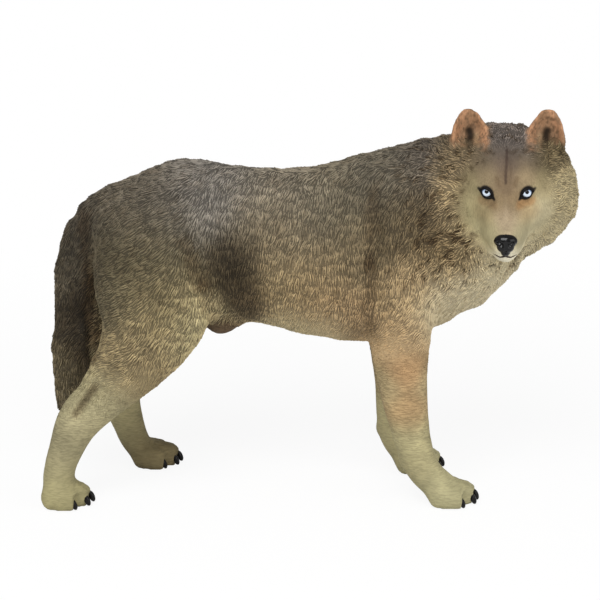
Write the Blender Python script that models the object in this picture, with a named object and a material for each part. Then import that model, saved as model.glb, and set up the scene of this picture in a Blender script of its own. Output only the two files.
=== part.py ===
"""A standing wolf figure, moulded in one piece of painted PVC.

It stands on four flat soles with its head turned to its own right.
The forms are laid up as a sculptor would: broad masses first, fused and
smoothed into flesh, then ears, muzzle, toes and claws, then tool marks.
Sizes are millimetres; the finished mesh is scaled to metres at the end.
The wolf faces +X, its left side is +Y, and the soles lie at Z = 0.
"""

import math

import bmesh
import bpy
from mathutils import Matrix, Vector, noise
from mathutils.bvhtree import BVHTree
from mathutils.kdtree import KDTree

MM = 0.001
SIDES = 28
STEPS_BETWEEN = 4

# Clay: voxel sizes of the two fusings, smoothing strokes, and the triangle budget
FLESH_VOXEL = 0.60
DETAIL_VOXEL = 0.36
FLESH_STROKES = 34
DETAIL_STROKES = 4
SMOOTHING_LOSS = 0.35
TUFT_HEIGHT = 0.85
TUFT_SIZE = 4.2
TRIANGLES = 11700
FOLD_ANGLE = math.radians(75)
IRONINGS = 12

# Body lines: height of the back over the loin, and half the width of the barrel
BACK_HEIGHT = 69.0
BELLY_HEIGHT = 33.0
BARREL_HALF_WIDTH = 12.6
HAUNCH_HALF_WIDTH = 12.0

# Head: where the skull's centre is, how far it is turned and how much it leans
HEAD_CENTRE = Vector((40.0, -4.0, 67.0))
HEAD_TURN_DEG = 95.0
HEAD_ROLL_DEG = 0.5
MUZZLE_REACH = 18.8
EYE_SPACING = 8.3
EYE_HEIGHT = -0.6
EYE_RADIUS = 1.6
EAR_SPREAD = 15.6
EAR_LEAN = 0.3
EAR_LENGTH = 9.0
EAR_WALL = 1.5
CUP_SHARE = 0.82
RUFF_HALF_WIDTH = 15.5

# Legs: where each paw's middle toes end, and the side on which the leg stands
NEAR_FORE_TOES = Vector((36.0, -11.6, 0.0))
FAR_FORE_TOES = Vector((30.2, 8.0, 0.0))
NEAR_HIND_TOES = Vector((-44.0, -12.6, 0.0))
FAR_HIND_TOES = Vector((-27.0, 11.4, 0.0))
TOE_HALF_WIDTH = 1.32
CARPAL_PAD_HEIGHT = 9.2
CLAW_LENGTH = 1.9
CLAW_RADIUS = 0.75

# Tail: its thickness, and how far its tip hangs above the ground
TAIL_HALF_WIDTH = 4.4
TAIL_TIP_HEIGHT = 15.5


def clear_scene():
    for obj in list(bpy.data.objects):
        bpy.data.objects.remove(obj, do_unlink=True)


def spline(a, b, c, d, t):
    """Catmull-Rom between b and c, for numbers and vectors alike."""
    return 0.5 * (
        2 * b + (c - a) * t + (2 * a - 5 * b + 4 * c - d) * t**2 + (3 * b - a - 3 * c + d) * t**3
    )


def refine(stations):
    """Smooth stations (centre, half deep, half across) through the given ones."""
    padded = [stations[0], *stations, stations[-1]]
    fine = []
    for i in range(len(stations) - 1):
        four = padded[i : i + 4]
        for k in range(STEPS_BETWEEN):
            fine.append([spline(*(s[n] for s in four), k / STEPS_BETWEEN) for n in range(3)])
    return fine + [list(stations[-1])]


def domed(stations):
    """Extra rings that close both ends with a rounded cap."""
    ends = []
    for end, beside in ((0, 1), (-1, -2)):
        centre, deep, across = stations[end]
        out = (centre - stations[beside][0]).normalized()
        reach = 0.7 * min(deep, across)
        caps = []
        for turn in (30, 55, 75, 86):
            a = math.radians(turn)
            caps.append([centre + out * reach * math.sin(a), deep * math.cos(a), across * math.cos(a)])
        ends.append(caps)
    return ends[0][::-1] + stations + ends[1]


def loft(bm, stations, side=Vector((0, 1, 0)), upright=False, wall=None):
    """A closed skin through elliptical rings, each (centre, half deep, half across).

    Rings stand square to the path, or in upright planes facing +X. With a wall
    given, the front of each ring is scooped out to leave a cup that thick.
    """
    fine = domed(refine([(Vector(c), d, a) for c, d, a in stations]))
    loops = []
    for i, (centre, deep, across) in enumerate(fine):
        before, after = fine[max(i - 1, 0)][0], fine[min(i + 1, len(fine) - 1)][0]
        along = Vector((1, 0, 0)) if upright else (after - before).normalized()
        over = (side - along * side.dot(along)).normalized()
        down = along.cross(over)
        turn = Matrix((over * across, down * deep, along)).transposed().to_4x4()
        ring = bmesh.ops.create_circle(
            bm, segments=SIDES, radius=1.0, matrix=Matrix.Translation(centre) @ turn
        )["verts"]
        if wall is not None:
            scoop(ring, centre, over / across, down / deep, down * max(2 * deep - wall, 0.0))
        loops.append(sorted({e for v in ring for e in v.link_edges}, key=lambda e: e.index))
    for first, second in zip(loops, loops[1:]):
        bmesh.ops.bridge_loops(bm, edges=first + second)
    for end in (loops[0], loops[-1]):
        bmesh.ops.contextual_create(bm, geom=end)


def scoop(ring, centre, across, back, push):
    """Moves the front of a ring back by the push, and leaves its two edges standing."""
    for v in ring:
        offset = v.co - centre
        front = max(0.0, -offset.dot(back))
        inside = max(0.0, 1 - (offset.dot(across) / CUP_SHARE) ** 2)
        v.co += push * min(1.0, 2 * inside) * min(1.0, 2 * front)


def mass(bm, centre, radii, turn=Matrix.Identity(4)):
    """An ellipsoid of clay."""
    place = Matrix.Translation(centre) @ turn @ Matrix.Diagonal((*radii, 1.0))
    bmesh.ops.create_uvsphere(bm, u_segments=32, v_segments=20, radius=1.0, matrix=place)


def head_frame():
    """From the head's own axes (forward, left, up) to the figure's."""
    turn = Matrix.Rotation(math.radians(-HEAD_TURN_DEG), 4, "Z")
    roll = Matrix.Rotation(math.radians(HEAD_ROLL_DEG), 4, "X")
    return Matrix.Translation(HEAD_CENTRE) @ turn @ roll


HEAD = head_frame()
HEAD_SIDE = (HEAD.to_3x3() @ Vector((0, 1, 0))).normalized()


def in_head(forward, left, up):
    return HEAD @ Vector((forward, left, up))


def head_turn():
    return HEAD.to_3x3().to_4x4()


def torso(bm):
    """Rump, loin, barrel and withers, from rear to front, as upright rings."""
    barrel, haunch = BARREL_HALF_WIDTH, HAUNCH_HALF_WIDTH
    back, belly = BACK_HEIGHT, BELLY_HEIGHT
    lines = [  # x, top, bottom, half width
        (-41.0, back - 5.0, belly + 14.0, haunch - 4.5),
        (-36.0, back - 2.0, belly + 6.0, haunch - 1.6),
        (-29.0, back + 0.9, belly + 3.6, haunch),
        (-22.0, back + 1.3, belly + 3.2, haunch - 0.6),
        (-14.0, back + 0.3, belly + 3.6, barrel - 2.6),
        (-6.0, back - 0.4, belly + 1.7, barrel - 1.4),
        (1.0, back + 0.1, belly + 0.2, barrel - 0.4),
        (8.0, back + 1.6, belly - 1.0, barrel),
        (15.0, back + 3.3, belly - 1.1, barrel + 0.2),
        (21.0, back + 4.7, belly - 0.2, barrel - 0.2),
        (27.0, back + 5.8, belly + 2.6, barrel - 0.4),
    ]
    loft(
        bm,
        [((x, 0, (top + low) / 2), (top - low) / 2, half) for x, top, low, half in lines],
        upright=True,
    )


def neck(bm):
    """Maned neck and chest, reaching forward under the turned head."""
    loft(
        bm,
        [
            ((18.0, 0.0, 54.2), 19.4, 12.6),
            ((24.5, 0.0, 54.8), 20.2, 13.0),
            ((31.0, 0.0, 56.9), 19.4, 13.2),
            ((37.0, 0.0, 59.6), 18.5, 13.0),
            ((41.5, -0.6, 62.0), 16.0, 11.6),
            ((45.4, -1.4, 64.0), 12.4, 9.4),
            ((48.4, -2.0, 65.2), 8.0, 6.4),
        ],
        upright=True,
    )


def skull(bm):
    """Skull, cheek ruff, cheekbones and brows, about the head's own axes."""
    turn = head_turn()
    mass(bm, in_head(-3.0, 0.0, -3.0), (9.0, RUFF_HALF_WIDTH, 13.8), turn)
    mass(bm, in_head(-0.6, 0.0, 2.8), (9.6, 9.8, 8.5), turn)
    for side in (-1, 1):
        mass(bm, in_head(2.4, side * 7.9, -3.8), (6.4, 5.8, 6.8), turn)
        mass(bm, in_head(5.0, side * 4.8, -2.6), (6.0, 4.8, 5.6), turn)
        mass(bm, in_head(5.8, side * 3.7, 2.2), (3.8, 3.2, 2.6), turn)


def muzzle(bm):
    """Bridge of the nose, lips and lower jaw, from between the eyes forward."""
    reach = MUZZLE_REACH
    loft(
        bm,
        [
            (in_head(1.0, 0.0, -1.4), 8.4, 8.0),
            (in_head(6.0, 0.0, -3.6), 7.2, 6.7),
            (in_head(reach - 8.5, 0.0, -6.0), 5.7, 5.4),
            (in_head(reach - 5.0, 0.0, -7.8), 4.6, 4.5),
            (in_head(reach - 2.4, 0.0, -8.8), 3.7, 3.9),
            (in_head(reach - 0.9, 0.0, -9.0), 2.9, 3.1),
        ],
        side=HEAD_SIDE,
    )
    loft(
        bm,
        [
            (in_head(3.0, 0.0, -8.8), 4.2, 6.2),
            (in_head(reach - 8.5, 0.0, -10.2), 3.2, 4.2),
            (in_head(reach - 5.0, 0.0, -11.3), 2.2, 3.1),
            (in_head(reach - 2.6, 0.0, -11.7), 1.5, 2.3),
        ],
        side=HEAD_SIDE,
    )


def limb(bm, rings):
    """A leg through rings (x, y, z, half deep, half across), from the trunk down."""
    loss = SMOOTHING_LOSS
    loft(bm, [((x, y, z), deep + loss, across + loss) for x, y, z, deep, across in rings])


def legs(bm):
    """The four legs from the trunk down to the pasterns."""
    x, y, _ = NEAR_FORE_TOES
    near_fore = [
        (17.5, y + 4.0, 52.0, 8.6, 5.6),
        (18.0, y + 2.8, 42.0, 7.6, 5.2),
        (18.8, y + 2.0, 34.0, 6.0, 4.8),
        (19.2, y + 1.2, 27.4, 5.2, 4.3),
        (x - 16.0, y + 0.6, 21.8, 4.8, 3.9),
        (x - 14.9, y + 0.2, 15.8, 4.0, 3.7),
        (x - 13.2, y, 9.8, 3.6, 3.5),
        (x - 10.6, y, 5.6, 3.2, 3.5),
        (x - 7.6, y, 3.8, 2.6, 3.6),
    ]
    x, y, _ = FAR_FORE_TOES
    far_fore = [
        (18.0, y - 2.0, 52.0, 8.6, 5.6),
        (18.0, y - 1.4, 42.0, 7.4, 5.2),
        (18.2, y - 0.8, 34.0, 6.0, 4.8),
        (18.3, y - 0.4, 27.0, 4.9, 4.2),
        (x - 11.6, y, 19.0, 4.1, 3.8),
        (x - 11.9, y, 13.0, 3.6, 3.5),
        (x - 11.3, y, 8.4, 3.4, 3.4),
        (x - 9.4, y, 5.0, 3.1, 3.5),
        (x - 7.0, y, 3.4, 2.4, 3.6),
    ]
    x, y, _ = NEAR_HIND_TOES
    near_hind = [
        (-30.5, y + 5.2, 58.0, 11.5, 6.2),
        (-31.0, y + 4.2, 50.0, 12.6, 6.6),
        (-31.4, y + 3.2, 42.0, 12.2, 6.0),
        (-33.2, y + 2.4, 35.5, 9.7, 5.4),
        (-37.2, y + 1.4, 29.2, 7.1, 4.7),
        (-42.3, y + 0.6, 23.4, 5.3, 3.8),
        (-47.5, y + 0.2, 18.0, 4.6, 3.6),
        (x - 5.6, y, 12.9, 3.7, 3.5),
        (x - 7.3, y, 8.6, 3.3, 3.4),
        (x - 7.7, y, 5.2, 3.0, 3.5),
        (x - 6.6, y, 3.4, 2.3, 3.6),
    ]
    x, y, _ = FAR_HIND_TOES
    far_hind = [
        (-30.0, y - 5.0, 58.0, 11.5, 6.2),
        (-29.4, y - 4.0, 49.0, 12.0, 6.4),
        (-28.6, y - 3.0, 40.0, 9.8, 5.8),
        (-30.0, y - 2.0, 33.0, 8.0, 5.2),
        (-33.4, y - 1.2, 27.4, 6.4, 4.5),
        (-38.2, y - 0.6, 22.4, 5.2, 3.8),
        (-41.2, y - 0.2, 17.2, 4.6, 3.5),
        (x - 13.0, y, 12.6, 3.9, 3.4),
        (x - 11.7, y, 8.4, 3.3, 3.4),
        (x - 10.2, y, 4.6, 2.7, 3.5),
        (x - 8.6, y, 3.0, 2.0, 3.6),
    ]
    for rings in (near_fore, far_fore, near_hind, far_hind):
        limb(bm, rings)


def shoulders_and_haunches(bm):
    """Muscle masses that swell out of the trunk over each leg."""
    for side in (-1, 1):
        mass(bm, Vector((18.0, side * 8.2, 54.0)), (9.0, 5.4, 15.0))
        mass(bm, Vector((-31.0, side * 7.4, 54.0)), (12.5, 5.6, 12.0))
    mass(bm, Vector((-18.0, 0.0, BELLY_HEIGHT + 2.6)), (4.5, 2.5, 3.3))


def tail(bm):
    """Bushy tail hanging straight down behind the thighs."""
    half = TAIL_HALF_WIDTH
    loft(
        bm,
        [
            ((-37.0, 0.0, 61.6), 4.8, half),
            ((-41.6, 0.1, 60.0), 4.8, half - 0.2),
            ((-45.0, 0.2, 56.2), 4.7, half - 0.2),
            ((-47.0, 0.3, 50.6), 4.8, half - 0.1),
            ((-47.6, 0.4, 44.0), 5.0, half),
            ((-47.9, 0.5, 36.0), 5.3, half + 0.1),
            ((-48.6, 0.4, 29.0), 5.1, half - 0.1),
            ((-49.6, 0.2, 22.0), 4.2, half - 0.8),
            ((-51.0, 0.0, TAIL_TIP_HEIGHT), 2.6, half - 2.2),
        ],
    )


def ears(bm):
    """Two cupped ears, open to the front and leaning outward."""
    half, lean = EAR_SPREAD / 2, EAR_LEAN
    for hand in (-1, 1):
        loft(
            bm,
            [
                (in_head(0.8, lean + hand * (half - 0.7), 3.6), 3.2, 4.4),
                (in_head(1.1, lean + hand * (half - 0.4), 6.4), 3.0, 4.4),
                (in_head(1.3, lean + hand * (half - 0.2), 5.4 + 0.50 * EAR_LENGTH), 2.5, 4.0),
                (in_head(1.3, lean + hand * (half + 0.1), 5.4 + 0.78 * EAR_LENGTH), 1.9, 3.1),
                (in_head(1.2, lean + hand * (half + 0.2), 5.4 + EAR_LENGTH), 1.3, 1.8),
            ],
            side=HEAD_SIDE,
            wall=EAR_WALL,
        )


def nose(bm):
    """Nose pad at the end of the muzzle, wider above than below."""
    turn = head_turn()
    reach = MUZZLE_REACH
    mass(bm, in_head(reach - 0.5, 0.0, -7.4), (1.7, 2.3, 1.5), turn)
    mass(bm, in_head(reach - 0.4, 0.0, -8.8), (1.2, 1.1, 1.3), turn)


def paw(bm, toes):
    """Palm, four toes with the middle pair ahead, and a blunt claw on each."""
    mass(bm, toes + Vector((-7.6, 0, 2.1)), (4.1, 3.8, 2.8))
    for place, setback in ((-2.7, 2.4), (-0.92, 0.0), (0.92, 0.0), (2.7, 2.4)):
        y = place * TOE_HALF_WIDTH
        tip = toes + Vector((-setback, y, 0))
        loft(
            bm,
            [
                (tip + Vector((-8.0, -0.2 * y, 2.4)), 2.6, TOE_HALF_WIDTH),
                (tip + Vector((-5.0, 0.0, 2.5)), 2.7, TOE_HALF_WIDTH + 0.1),
                (tip + Vector((-2.6, 0.0, 2.0)), 2.4, TOE_HALF_WIDTH + 0.1),
                (tip + Vector((-1.2, 0.0, 1.5)), 1.8, TOE_HALF_WIDTH - 0.2),
            ],
        )
        loft(
            bm,
            [
                (tip + Vector((-1.4, 0.0, 2.5)), CLAW_RADIUS, CLAW_RADIUS),
                (tip + Vector((-0.4, 0.0, 2.1)), CLAW_RADIUS, CLAW_RADIUS),
                (tip + Vector((CLAW_LENGTH - 1.4, 0.0, 1.1)), 0.4, 0.4),
            ],
        )


def fuse(bm, voxel):
    """Every overlapping form in the clay becomes one closed skin."""
    mesh = bpy.data.meshes.new("clay")
    bm.to_mesh(mesh)
    bm.free()
    holder = bpy.data.objects.new("clay", mesh)
    bpy.context.scene.collection.objects.link(holder)
    remesh = holder.modifiers.new("fuse", "REMESH")
    remesh.mode = "VOXEL"
    remesh.voxel_size = voxel
    fused = bmesh.new()
    fused.from_mesh(evaluated_mesh(holder))
    bpy.data.objects.remove(holder, do_unlink=True)
    return fused


def evaluated_mesh(obj):
    graph = bpy.context.evaluated_depsgraph_get()
    return bpy.data.meshes.new_from_object(obj.evaluated_get(graph), depsgraph=graph)


class Clay:
    """A skin under the sculptor's tools, with search trees so that each finds its place."""

    def __init__(self, bm):
        bm.normal_update()
        bm.verts.ensure_lookup_table()
        self.verts = bm.verts
        self.skin = BVHTree.FromBMesh(bm)
        self.points = KDTree(len(bm.verts))
        for v in bm.verts:
            self.points.insert(v.co, v.index)
        self.points.balance()

    def on_face(self, left, up):
        """The point of the skin seen straight from the front of the face."""
        ahead = in_head(2 * MUZZLE_REACH, left, up)
        return self.skin.ray_cast(ahead, (in_head(0, left, up) - ahead).normalized())[0]

    def press(self, path, radius, depth, fade=False):
        """A tool drawn over the skin along a path; a negative depth raises it.

        With fade set, the stroke starts and ends at nothing.
        """
        path = [self.skin.find_nearest(Vector(p))[0] for p in path]
        legs = list(zip(path, path[1:]))
        reach = radius + max((b - a).length for a, b in legs)
        for i in {i for p in path for _, i, _ in self.points.find_range(p, reach)}:
            v = self.verts[i]
            near, travelled = min(
                distance_and_travel(v.co, a, b, n) for n, (a, b) in enumerate(legs)
            )
            if near < radius:
                weight = math.sin(math.pi * travelled / len(legs)) if fade else 1.0
                v.co -= v.normal * depth * weight * (1 - (near / radius) ** 2) ** 2


def distance_and_travel(p, a, b, legs_before):
    """How far p is from the leg a-b of a path, and how many legs of it lie behind."""
    along = b - a
    t = max(0.0, min(1.0, (p - a).dot(along) / max(along.length_squared, 1e-9)))
    return (p - a - along * t).length, legs_before + t


def smooth(bm, strokes, keep=None):
    verts = [v for v in bm.verts if keep is None or not keep(v.co)]
    for _ in range(strokes):
        bmesh.ops.smooth_vert(
            bm, verts=verts, factor=0.5, use_axis_x=True, use_axis_y=True, use_axis_z=True
        )


def rough_flesh():
    bm = bmesh.new()
    for build in (torso, neck, skull, shoulders_and_haunches, tail, legs, muzzle):
        build(bm)
    flesh = fuse(bm, FLESH_VOXEL)
    smooth(flesh, 6)
    smooth(flesh, FLESH_STROKES, keep=is_crisp)
    return flesh


FACE = in_head(8.0, 0.0, -3.0)
MOUTH = in_head(MUZZLE_REACH - 3, 0.0, -8.0)


def is_crisp(p):
    """The muzzle and the paws keep more of their form when the flesh is smoothed."""
    return p.z < 7.0 or (p - MOUTH).length < 8.0


def shagginess(p):
    """How long the coat is: full on mane, trunk and tail, none on face and feet."""
    from_face = min(1.0, max(0.0, (p - FACE).length / 11.0 - 1.0))
    from_feet = min(1.0, max(0.0, (p.z - 22.0) / 14.0))
    mane = min(1.0, max(0.0, (p.x - 12.0) / 14.0)) * min(1.0, max(0.0, (p.z - 38.0) / 8.0))
    tail = 0.7 * min(1.0, max(0.0, (-p.x - 41.0) / 4.0)) * min(1.0, max(0.0, (p.z - 20.0) / 6.0))
    return from_face * max(from_feet * (0.55 + 0.45 * mane), tail)


def raise_tufts(bm):
    """Coarse locks of the coat, longer down the fall of the hair than across it."""
    bm.normal_update()
    for v in bm.verts:
        long = shagginess(v.co)
        if long > 0:
            stretched = Vector((v.co.x + 0.5 * v.co.z, v.co.y, 0.55 * (v.co.z - 0.5 * v.co.x)))
            lock = abs(noise.noise(stretched / TUFT_SIZE))
            v.co += v.normal * TUFT_HEIGHT * long * (2.2 * lock - 0.3)


def creases(clay):
    """Folds between limb and trunk, and the hollows of the hocks."""
    for side in (-1, 1):
        shoulder = [(13.4, side * 14, 64), (12.4, side * 14, 51), (12.6, side * 14, 38)]
        clay.press(shoulder, 3.2, 1.0, fade=True)
        elbow = [(14.0, side * 12, 38), (12.6, side * 12, 35), (11.6, side * 12, 32)]
        clay.press(elbow, 2.4, 0.8, fade=True)
        groin = [(-25.0, side * 14, 57), (-21.0, side * 14, 47), (-18.5, side * 12, 38)]
        clay.press(groin, 3.6, 1.2, fade=True)
    y = NEAR_HIND_TOES.y
    for over in (-5.0, 5.0):
        clay.press([(-42.6, y + over, 27.6), (-48.2, y + over, 19.8)], 1.6, 1.1, fade=True)
    y = FAR_HIND_TOES.y
    for over in (-5.0, 5.0):
        clay.press([(-38.8, y + over, 26.6), (-42.6, y + over, 19.0)], 1.6, 1.0, fade=True)
    for toes in (FAR_FORE_TOES, NEAR_FORE_TOES):
        pad = toes + Vector((-16.5, 0, CARPAL_PAD_HEIGHT))
        clay.press([pad, pad - Vector((0, 0, 0.8))], 1.6, -0.9)


def eye_sockets(clay):
    """Hollows for the eyes beneath the brow, and the cheeks' fall to the muzzle."""
    for side in (-1, 1):
        eye = EYE_SPACING / 2
        inner, outer = clay.on_face(side * (eye - 0.7), -1.1), clay.on_face(side * (eye + 0.8), -0.5)
        clay.press([inner, outer], 2.5, 1.1)
        clay.press([clay.on_face(side * 4.8, -4.0), in_head(12.5, side * 4.6, -7.8)], 2.4, 0.5, fade=True)
    clay.press([clay.on_face(0, 0.2), clay.on_face(0, 7.4)], 1.8, 0.7, fade=True)


def eyeballs(bm, clay):
    for side in (-1, 1):
        front = clay.on_face(side * EYE_SPACING / 2, EYE_HEIGHT)
        centre = front + in_head(0, 0, 0) - in_head(0.7 * EYE_RADIUS, 0, 0)
        mass(bm, centre, (EYE_RADIUS, EYE_RADIUS * 1.1, EYE_RADIUS * 0.9), head_turn())


def tool_marks(clay):
    """Mouth line, nostrils, eyelids and the brow, drawn in the finished skin."""
    reach = MUZZLE_REACH
    for side in (-1, 1):
        mouth = [
            clay.on_face(0.0, -10.4),
            clay.on_face(side * 1.9, -11.0),
            in_head(reach - 4.5, side * 4.4, -10.7),
            in_head(reach - 8.5, side * 5.4, -9.8),
        ]
        clay.press(mouth, 0.8, 0.55)
        clay.press([clay.on_face(side * 0.9, -7.8), clay.on_face(side * 1.7, -8.0)], 0.7, 0.6)
        eye = side * EYE_SPACING / 2
        brow = [
            clay.on_face(eye - side * 1.4, EYE_HEIGHT + 1.9),
            clay.on_face(eye + side * 0.8, EYE_HEIGHT + 2.3),
            clay.on_face(eye + side * 2.6, EYE_HEIGHT + 1.4),
        ]
        clay.press(brow, 1.3, -0.4)
    clay.press([clay.on_face(0, -8.5), clay.on_face(0, -10.4)], 0.5, 0.3)


def flat_soles(bm):
    """Everything below the ground plane is trimmed away, which leaves four flat soles."""
    everything = bm.verts[:] + bm.edges[:] + bm.faces[:]
    bmesh.ops.bisect_plane(
        bm, geom=everything, plane_co=(0, 0, 0), plane_no=(0, 0, -1), clear_outer=True
    )
    rims = [e for e in bm.edges if e.is_boundary]
    bmesh.ops.holes_fill(bm, edges=rims)
    bmesh.ops.triangulate(bm, faces=[f for f in bm.faces if len(f.verts) > 4])


def wolf():
    flesh = rough_flesh()
    clay = Clay(flesh)
    creases(clay)
    raise_tufts(flesh)
    details = bmesh.new()
    eyeballs(details, clay)
    eye_sockets(clay)
    for build in (ears, nose):
        build(details)
    for toes in (NEAR_FORE_TOES, FAR_FORE_TOES, NEAR_HIND_TOES, FAR_HIND_TOES):
        paw(details, toes)
    rough = bpy.data.meshes.new("rough")
    flesh.to_mesh(rough)
    details.from_mesh(rough)
    skin = fuse(details, DETAIL_VOXEL)
    smooth(skin, DETAIL_STROKES)
    tool_marks(Clay(skin))
    flat_soles(skin)
    mesh = bpy.data.meshes.new("wolf_figure")
    skin.to_mesh(mesh)
    return mesh


def pvc():
    material = bpy.data.materials.new("painted_pvc")
    material.use_nodes = True
    shader = material.node_tree.nodes["Principled BSDF"]
    shader.inputs["Base Color"].default_value = (0.20, 0.16, 0.10, 1.0)
    shader.inputs["Roughness"].default_value = 0.6
    shader.inputs["Metallic"].default_value = 0.0
    return material


def thin_to_budget(mesh):
    """Collapses the skin to the triangle budget, where its shape allows it."""
    holder = bpy.data.objects.new("thinning", mesh)
    bpy.context.scene.collection.objects.link(holder)
    mesh.calc_loop_triangles()
    thin = holder.modifiers.new("budget", "DECIMATE")
    thin.ratio = min(1.0, TRIANGLES / len(mesh.loop_triangles))
    thin.use_collapse_triangulate = True
    thinned = evaluated_mesh(holder)
    bpy.data.objects.remove(holder, do_unlink=True)
    iron_folds(thinned)
    return thinned


def iron_folds(mesh):
    """Eases each point of trunk, limbs and face where the thinned skin doubled back."""
    bm = bmesh.new()
    bm.from_mesh(mesh)
    for _ in range(IRONINGS):
        bm.normal_update()
        sharp = [e for e in bm.edges if e.calc_face_angle(0.0) > FOLD_ANGLE]
        folded = {v for e in sharp for v in e.verts if not (v.co.z < 5.0 or is_ear(v.co))}
        bmesh.ops.smooth_vert(
            bm, verts=list(folded), factor=0.5, use_axis_x=True, use_axis_y=True, use_axis_z=True
        )
    bm.to_mesh(mesh)


def is_ear(p):
    local = HEAD.inverted() @ p
    return local.z > 5.0 and abs(local.y - EAR_LEAN) > EAR_SPREAD / 2 - 5.0 and local.x < 6.0


def set_on_ground(mesh):
    """Soles exactly at zero, and the box's middle over the origin; then millimetres to metres."""
    xs, ys = [v.co.x for v in mesh.vertices], [v.co.y for v in mesh.vertices]
    for v in mesh.vertices:
        if v.co.z < 0.12:
            v.co.z = 0.0
    middle = Vector(((max(xs) + min(xs)) / 2, (max(ys) + min(ys)) / 2, 0.0))
    print("middle of the box was at", tuple(round(c, 2) for c in middle))
    mesh.transform(Matrix.Scale(MM, 4) @ Matrix.Translation(-middle))


def main():
    clear_scene()
    mesh = thin_to_budget(wolf())
    set_on_ground(mesh)
    mesh.name = "wolf_figure"
    mesh.materials.clear()
    mesh.materials.append(pvc())
    figure = bpy.data.objects.new("wolf_figure", mesh)
    bpy.context.scene.collection.objects.link(figure)
    mesh.shade_smooth()


main()
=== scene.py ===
import math
import random

import bmesh
import bpy
from mathutils import Matrix, Vector, noise
from mathutils.bvhtree import BVHTree
from mathutils.kdtree import KDTree


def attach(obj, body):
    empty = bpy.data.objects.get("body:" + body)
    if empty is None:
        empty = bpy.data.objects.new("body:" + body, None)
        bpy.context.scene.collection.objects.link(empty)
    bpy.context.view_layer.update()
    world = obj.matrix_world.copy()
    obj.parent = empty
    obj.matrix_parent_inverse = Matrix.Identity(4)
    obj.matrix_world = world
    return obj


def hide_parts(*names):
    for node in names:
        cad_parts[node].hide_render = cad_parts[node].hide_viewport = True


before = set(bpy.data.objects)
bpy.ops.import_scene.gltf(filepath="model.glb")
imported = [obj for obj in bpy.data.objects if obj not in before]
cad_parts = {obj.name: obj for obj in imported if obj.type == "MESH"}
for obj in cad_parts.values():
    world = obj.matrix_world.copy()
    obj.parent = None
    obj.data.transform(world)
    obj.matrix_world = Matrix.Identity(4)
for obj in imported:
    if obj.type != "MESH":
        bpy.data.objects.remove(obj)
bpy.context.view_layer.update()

# The studio: a long lens that looks down a little, a white surround, one broad soft lamp from
# above the camera's left and a weak one from its right, and a pale floor that keeps the shadow.
# The wolf's own millimetres count from the midline of its body, which is not the box's middle.
MIDLINE = Vector((-0.07, -3.73, 0.0))
TO_FIGURE = Matrix.Scale(0.001, 4) @ Matrix.Translation(-MIDLINE)
VIEW_TILT = math.radians(16.0)
VIEW_DISTANCE = 420.0
VIEW_WIDTH = 125.0
AIM = Vector((-1.67, 0.0, 40.6))
SENSOR_WIDTH = 36.0
SURROUND_LIGHT = 0.40
FLOOR_HALF = 1.2
FLOOR_GREY = 0.86
WHITE_NEAR_PAWS = 0.90
SHADOW_FADES = (0.05, 0.22)

camera = bpy.data.objects.new("camera", bpy.data.cameras.new("camera"))
bpy.context.scene.collection.objects.link(camera)
bpy.context.scene.camera = camera
camera.data.sensor_width = SENSOR_WIDTH
camera.data.lens = SENSOR_WIDTH * VIEW_DISTANCE / VIEW_WIDTH
camera.data.clip_start = 0.01
backwards = Vector((0.0, -math.cos(VIEW_TILT), math.sin(VIEW_TILT)))
camera.location = TO_FIGURE @ (AIM + backwards * VIEW_DISTANCE)
camera.rotation_euler = (math.radians(90.0) - VIEW_TILT, 0.0, 0.0)
bpy.context.scene.view_settings.view_transform = "Standard"

for name, place, size, power in (
    ("key_lamp", Vector((-90.0, -330.0, 420.0)), 0.32, 2.45),
    ("fill_lamp", Vector((330.0, -260.0, 170.0)), 0.30, 0.62),
):
    lamp = bpy.data.objects.new(name, bpy.data.lights.new(name, "AREA"))
    bpy.context.scene.collection.objects.link(lamp)
    lamp.data.size = size
    lamp.data.energy = power
    lamp.location = TO_FIGURE @ place
    towards = (AIM - place).normalized()
    lamp.rotation_euler = towards.to_track_quat("-Z", "Y").to_euler()

surround = bpy.data.worlds.new("surround")
bpy.context.scene.world = surround
surround.use_nodes = True
nodes, links = surround.node_tree.nodes, surround.node_tree.links
light_path = nodes.new("ShaderNodeLightPath")
strength = nodes.new("ShaderNodeMapRange")
strength.inputs["To Min"].default_value = SURROUND_LIGHT
strength.inputs["To Max"].default_value = 1.0
links.new(light_path.outputs["Is Camera Ray"], strength.inputs["Value"])
links.new(strength.outputs["Result"], nodes["Background"].inputs["Strength"])
nodes["Background"].inputs["Color"].default_value = (1.0, 1.0, 1.0, 1.0)

floor_bm = bmesh.new()
bmesh.ops.create_grid(floor_bm, x_segments=1, y_segments=1, size=FLOOR_HALF)
floor_mesh = bpy.data.meshes.new("floor")
floor_bm.to_mesh(floor_mesh)
floor_bm.free()
floor = bpy.data.objects.new("floor", floor_mesh)
bpy.context.scene.collection.objects.link(floor)
floor_paint = bpy.data.materials.new("pale_floor")
floor_paint.use_nodes = True
nodes, links = floor_paint.node_tree.nodes, floor_paint.node_tree.links
matt = nodes["Principled BSDF"].inputs
matt["Base Color"].default_value = (FLOOR_GREY, FLOOR_GREY, FLOOR_GREY, 1.0)
matt["Roughness"].default_value = 0.9
matt["Specular IOR Level"].default_value = 0.0
glow = nodes.new("ShaderNodeEmission")
glow.inputs["Color"].default_value = (1.0, 1.0, 1.0, 1.0)
place_on_floor = nodes.new("ShaderNodeTexCoord")
from_middle = nodes.new("ShaderNodeVectorMath")
from_middle.operation = "LENGTH"
links.new(place_on_floor.outputs["Object"], from_middle.inputs[0])
whiter = nodes.new("ShaderNodeMapRange")
whiter.interpolation_type = "SMOOTHSTEP"
whiter.inputs["From Min"].default_value, whiter.inputs["From Max"].default_value = SHADOW_FADES
whiter.inputs["To Min"].default_value = WHITE_NEAR_PAWS
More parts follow.
